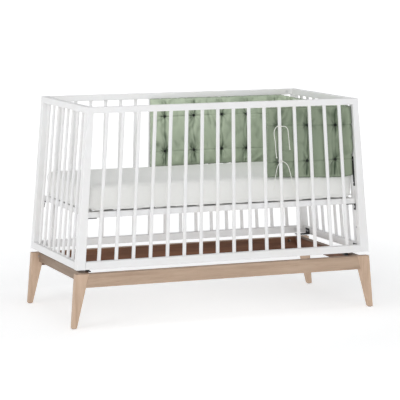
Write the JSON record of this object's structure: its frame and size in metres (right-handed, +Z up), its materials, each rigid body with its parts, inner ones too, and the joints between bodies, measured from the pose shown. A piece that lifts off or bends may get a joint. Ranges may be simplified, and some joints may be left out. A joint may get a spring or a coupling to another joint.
{
  "type": "baby crib",
  "caption": "White slatted crib with leaning ends on a splayed oak leg frame, with a height-adjustable mattress base, mattress and quilted bumper pad.",
  "frame": {"origin": "on the floor under the middle of the crib", "axes": "+X along the length towards the bumper's end, +Y to the back, +Z up"},
  "size_m": [1.3374, 0.657, 0.89],
  "materials": {
    "white_lacquer": "smooth white lacquer, satin",
    "white_board": "white foil board",
    "oak": "whitewashed oak, matt oil",
    "beech": "bare turned beech",
    "black_steel": "black powder coat",
    "zinc_steel": "bright zinc",
    "white_plastic": "white plastic caps over the cams",
    "glide_plastic": "grey felted plastic",
    "mattress_cover": "off-white cotton cover",
    "bumper_fabric": "sage green woven cotton, quilted",
    "button_fabric": "dark green cloth, covered buttons",
    "tie_cord": "off-white twisted cotton cord"
  },
  "bodies": {
    "crib": {"base_barrel_nuts": "zinc_steel", "base_bolts": "zinc_steel", "base_rail_back": "oak", "base_rail_front": "oak", "base_rail_left": "oak", "base_rail_right": "oak", "brace_screws": "zinc_steel", "bumper_back": "bumper_fabric", "bumper_end": "bumper_fabric", "bumper_front": "bumper_fabric", "cam_discs": "white_plastic", "cam_pins": "zinc_steel", "corner_braces": "black_steel", "corner_plates": "black_steel", "end_bottom_rail_left": "white_lacquer", "end_bottom_rail_right": "white_lacquer", "end_slats_left": "white_lacquer", "end_slats_right": "white_lacquer", "end_top_rail_left": "white_lacquer", "end_top_rail_right": "white_lacquer", "foot_glides": "glide_plastic", "height_inserts": "zinc_steel", "leg_back_left": "oak", "leg_back_right": "oak", "leg_front_left": "oak", "leg_front_right": "oak", "lower_tie_left": "tie_cord", "lower_tie_right": "tie_cord", "panel_dowels": "beech", "plate_screws": "zinc_steel", "post_back_left": "white_lacquer", "post_back_right": "white_lacquer", "post_front_left": "white_lacquer", "post_front_right": "white_lacquer", "post_straps": "black_steel", "side_bottom_rail_back": "white_lacquer", "side_bottom_rail_front": "white_lacquer", "side_slats_back": "white_lacquer", "side_slats_front": "white_lacquer", "side_top_rail_back": "white_lacquer", "side_top_rail_front": "white_lacquer", "standoff_bolts": "black_steel", "standoff_spacers": "black_steel", "strap_screws": "zinc_steel", "tie_end_knots": "tie_cord", "tie_knots": "tie_cord", "tie_loops": "tie_cord", "tuft_buttons": "button_fabric", "upper_tie_left": "tie_cord", "upper_tie_right": "tie_cord"},
    "mattress_base": {"bed_rail_back": "white_lacquer", "bed_rail_front": "white_lacquer", "bed_rail_left": "white_lacquer", "bed_rail_right": "white_lacquer", "bed_slats": "white_board", "bracket_bolts": "zinc_steel", "mattress": "mattress_cover", "shelf_brackets": "black_steel"}
  },
  "joints": [
    {"name": "base_height", "type": "slide", "parent": "crib", "child": "mattress_base", "axis": [0, 0, 1], "range_m": [-0.176, 0]}
  ]
}
